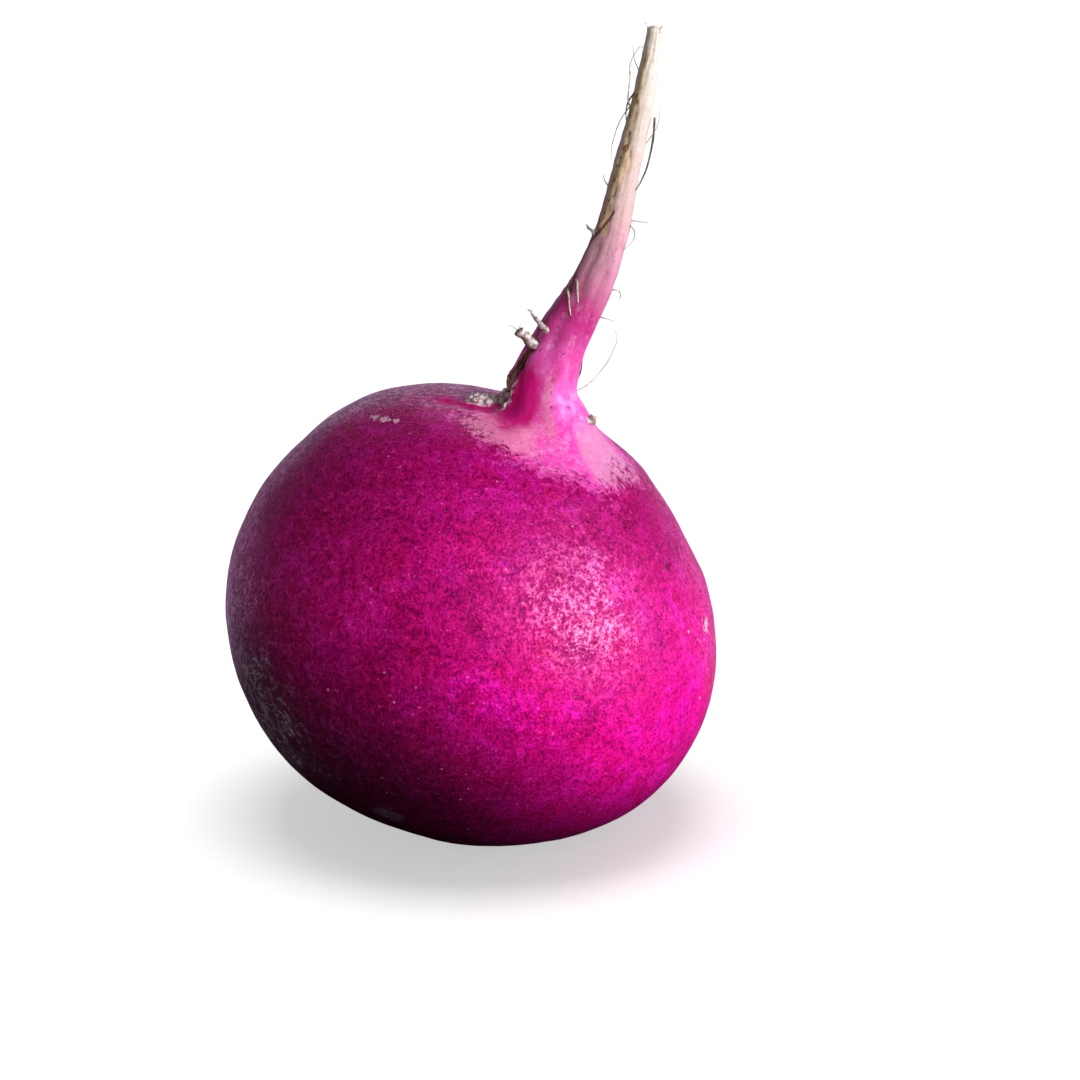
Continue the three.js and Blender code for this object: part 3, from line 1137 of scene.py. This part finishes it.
class RADISH_OT_cork(bpy.types.Operator):
    """Build the corky crumbs at the foot of the neck"""

    bl_idname = "radish.cork"
    bl_label = "Cork crumbs"

    def execute(self, context):
        scene = context.scene
        skin = Skin(scene.radish_sizes)
        flat_points = skin.points.reshape(-1, 3)
        weights = skin.paint["cork"].ravel() * (skin.past_grid.ravel() < 1.4)
        chosen = np.flatnonzero(weights > 0.55)
        generator = np.random.default_rng(11)
        parts = []
        for index in generator.choice(chosen, size=CRUMBS, replace=False):
            size = generator.uniform(*CRUMB_RADII) * MM
            parts.append(self.crumb(flat_points[index], size, generator))
        points, faces = joined(parts)
        made = mesh_object(
            "cork_crumbs", points, faces, cork_material(scene.radish_colours)
        )
        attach(made, ROOT_BODY)
        return {"FINISHED"}

    @staticmethod
    def crumb(place, size, generator):
        """A small rough lump."""
        rows, around = 7, 10
        stretch = generator.uniform(0.7, 1.3, 3) * size
        polar = np.linspace(0, math.pi, rows + 2)[1:-1]
        angle = np.arange(around) * 2 * math.pi / around
        grid = np.stack(
            [
                np.sin(polar)[:, None] * np.cos(angle)[None, :],
                np.sin(polar)[:, None] * np.sin(angle)[None, :],
                -np.cos(polar)[:, None] * np.ones(around)[None, :],
            ],
            -1,
        ).reshape(-1, 3)
        ends = np.array([[0.0, 0, -1], [0, 0, 1]])
        points = np.concatenate([grid, ends])
        points *= 1 + 0.3 * lumps(points, 0.9, float(size / MM) * 50, 2)[:, None]
        faces = ring_faces(rows, around)
        for j in range(around):
            k = (j + 1) % around
            faces.append((rows * around, k, j))
            faces.append((rows * around + 1, (rows - 1) * around + j, (rows - 1) * around + k))
        return points * stretch + place, faces


class RADISH_OT_stage(bpy.types.Operator):
    """Set up the floor, the studio light and the camera"""

    bl_idname = "radish.stage"
    bl_label = "Studio"

    def execute(self, context):
        scene = context.scene
        stage = scene.radish_stage
        floor = self.floor()
        centre = Vector(BODY_CENTRE)
        key = self.light("key_light", centre, *KEY_LIGHT, stage.key_power, stage.key_size)
        key.data.color = (0.97, 0.93, 1.10)
        front = self.light("front_light", centre, *FRONT_LIGHT)
        front.visible_glossy = False
        above = self.light("floor_light", centre, *FLOOR_LIGHT)
        for lamp in (key, front):
            self.reach(lamp, floor, "EXCLUDE")
        self.reach(above, floor, "INCLUDE")
        self.surroundings(scene, stage.fill)
        toward = Vector((0, -math.cos(stage.elevation), math.sin(stage.elevation)))
        up = Vector((0, math.sin(stage.elevation), math.cos(stage.elevation)))
        aim = centre + Vector((5.19 * MM, 0, 0)) + up * 5.70 * MM
        camera = bpy.data.cameras.new("camera")
        camera.lens = stage.lens
        camera.sensor_width = 36.0
        camera.clip_start = 0.01
        made = bpy.data.objects.new("camera", camera)
        rows = Matrix((Vector((1, 0, 0)), up, toward)).transposed()
        made.matrix_world = Matrix.Translation(aim + toward * stage.distance) @ rows.to_4x4()
        scene.collection.objects.link(made)
        scene.camera = made
        scene.view_settings.view_transform = "Standard"
        return {"FINISHED"}

    @staticmethod
    def floor():
        """White paper that throws little light back up."""
        net = Net(bpy.data.materials.new("floor"))
        paper = net.node("ShaderNodeBsdfDiffuse", None, {"Color": (0.8, 0.8, 0.8, 1)})
        glow = net.node("ShaderNodeEmission", None, {"Strength": 0.52})
        dark = net.node("ShaderNodeBsdfDiffuse", None, {"Color": (0.06, 0.06, 0.06, 1)})
        seen = net.node("ShaderNodeLightPath", output=CAMERA_RAY)
        lit = net.node("ShaderNodeAddShader", None, {0: paper, 1: glow})
        both = net.node("ShaderNodeMixShader", None, {0: seen, 1: dark, 2: lit})
        # the part behind the radish shines in its skin like a pale backdrop
        place = net.node("ShaderNodeTexCoord", output=OBJECT_PLACE)
        sideways = net.node("ShaderNodeSeparateXYZ", None, {0: place}, 0)
        backward = net.node("ShaderNodeSeparateXYZ", None, {0: place}, 1)
        behind = net.step(backward - abs(sideways) * 0.3, 0.004, 0.030)
        mirrored = net.node("ShaderNodeLightPath", output=GLOSSY_RAY) * behind
        pale = {"Color": (0.95, 0.60, 1.05, 1), "Strength": 0.55}
        shine = net.node("ShaderNodeEmission", None, pale)
        both = net.node("ShaderNodeMixShader", None, {0: mirrored, 1: both, 2: shine})
        net.node("ShaderNodeOutputMaterial", None, {"Surface": both})
        around = 96
        turns = [2 * math.pi * j / around for j in range(around)]
        points = [(FLOOR_RADIUS * math.cos(a), FLOOR_RADIUS * math.sin(a), 0) for a in turns]
        made = mesh_object("floor", points, [tuple(range(around))], net.owner)
        made.location.z = -0.02 * MM
        return made

    @staticmethod
    def light(name, centre, direction, distance, power, size):
        """A lamp that faces the body."""
        data = bpy.data.lights.new(name, "AREA")
        data.energy = power
        data.size = size
        made = bpy.data.objects.new(name, data)
        made.location = centre + Vector(direction).normalized() * distance
        made.rotation_euler = (centre - made.location).to_track_quat("-Z", "Y").to_euler()
        bpy.context.scene.collection.objects.link(made)
        return made

    @staticmethod
    def reach(lamp, floor, state):
        """Lets a light reach only the floor, or everything but the floor."""
        group = bpy.data.collections.new(lamp.name + "_reach")
        group.objects.link(floor)
        group.collection_objects[0].light_linking.link_state = state
        lamp.light_linking.receiver_collection = group

    @staticmethod
    def surroundings(scene, fill):
        """Soft light from all round, and a bright backdrop behind the radish."""
        net = Net(bpy.data.worlds.new("studio"))
        direction = net.node("ShaderNodeTexCoord")
        backward = net.node("ShaderNodeSeparateXYZ", None, {0: direction}, 1)
        behind = net.step(backward, 0.82, 1.00)
        far = (fill * 2.2, fill * 2.2, fill * 2.4)
        light = net.mix(behind, (fill, fill, fill * 1.04), far)
        shine = net.mix(behind, (0.02, 0.018, 0.024), (0.85, 0.70, 1.00))
        mirrored = net.node("ShaderNodeLightPath", output=GLOSSY_RAY)
        light = net.mix(mirrored, light, shine)
        seen = net.node("ShaderNodeLightPath", output=CAMERA_RAY)
        light = net.mix(seen, light, (1.0, 1.0, 1.0))
        background = net.node("ShaderNodeBackground", None, {"Color": light})
        net.node("ShaderNodeOutputWorld", None, {"Surface": background})
        scene.world = net.owner


class RADISH_PT_panel(bpy.types.Panel):
    """Lists the pieces of the radish"""

    bl_idname = "RADISH_PT_panel"
    bl_label = "Radish"
    bl_space_type = "VIEW_3D"
    bl_region_type = "UI"
    bl_category = "Radish"

    def draw(self, context):
        layout = self.layout
        for group in ("radish_sizes", "radish_colours", "radish_stage"):
            box = layout.box()
            settings = getattr(context.scene, group)
            for name in settings.bl_rna.properties.keys():
                if name not in ("rna_type", "name"):
                    box.prop(settings, name)
        for operator in OPERATORS:
            layout.operator(operator.bl_idname)


OPERATORS = (
    RADISH_OT_skin,
    RADISH_OT_stumps,
    RADISH_OT_rootlets,
    RADISH_OT_cork,
    RADISH_OT_stage,
)
GROUPS = {
    "radish_sizes": RadishSizes,
    "radish_colours": RadishColours,
    "radish_stage": RadishStage,
}


def register():
    for group in GROUPS.values():
        bpy.utils.register_class(group)
    for name, group in GROUPS.items():
        setattr(bpy.types.Scene, name, bpy.props.PointerProperty(type=group))
    for operator in OPERATORS:
        bpy.utils.register_class(operator)
    bpy.utils.register_class(RADISH_PT_panel)


def unregister():
    bpy.utils.unregister_class(RADISH_PT_panel)
    for operator in reversed(OPERATORS):
        bpy.utils.unregister_class(operator)
    for name, group in GROUPS.items():
        delattr(bpy.types.Scene, name)
        bpy.utils.unregister_class(group)


def main():
    register()
    bpy.ops.radish.skin()
    bpy.ops.radish.stumps()
    bpy.ops.radish.rootlets()
    bpy.ops.radish.cork()
    bpy.ops.radish.stage()


if __name__ == "__main__":
    main()
